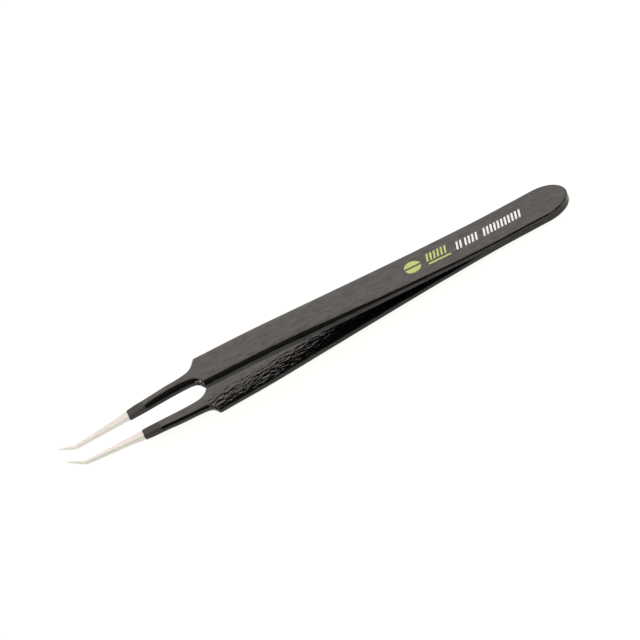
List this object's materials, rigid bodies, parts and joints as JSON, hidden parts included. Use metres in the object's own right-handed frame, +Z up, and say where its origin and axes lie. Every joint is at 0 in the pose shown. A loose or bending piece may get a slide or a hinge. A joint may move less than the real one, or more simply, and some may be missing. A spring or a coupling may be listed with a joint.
{
  "type": "precision tweezers",
  "caption": "Slim coated tweezers: two bowed spring blades welded at the heel, stepped shoulders, bare steel needles with points bent sideways.",
  "frame": {"origin": "on the table under the middle of the object, with the tweezers lying on the lower blade, which touches the table at its butt and at its shoulder", "axes": "+X towards the butt, so the needle points are at -X; +Y across the width, towards the side the points are bent to; +Z up. The plane between the blades is tilted 2.74 degrees about Y, points raised."},
  "size_m": [0.1152, 0.0092, 0.0101],
  "materials": {
    "blade_steel": "satin, finely ground along the needle",
    "weld_steel": "fused spot weld, hidden between the blades",
    "black_coating": "satin black epoxy with a fine wrinkle",
    "white_ink": "matt printed ink",
    "yellow_ink": "matt printed ink"
  },
  "bodies": {
    "heel": {"upper_blade_heel": "blade_steel", "lower_blade_heel": "blade_steel", "spot_welds": "weld_steel", "heel_coating": "black_coating", "white_marking": "white_ink"},
    "upper_arm": {"upper_blade": "blade_steel", "upper_arm_coating": "black_coating", "yellow_marking": "yellow_ink"},
    "lower_arm": {"lower_blade": "blade_steel", "lower_arm_coating": "black_coating"}
  },
  "joints": [
    {"name": "upper_arm_flex", "type": "hinge", "parent": "heel", "child": "upper_arm", "pos_m": [0.03158, 0, 0.00301], "axis": [0, -1, 0], "range_deg": [0, 1.19], "stiffness_Nm_per_rad": 1.5},
    {"name": "lower_arm_flex", "type": "hinge", "parent": "heel", "child": "lower_arm", "pos_m": [0.0315, 0, 0.00149], "axis": [0, 1, 0], "range_deg": [0, 1.19], "stiffness_Nm_per_rad": 1.5}
  ],
  "couplings": [
    {"joint": "lower_arm_flex", "follows": "upper_arm_flex", "ratio": 1}
  ]
}
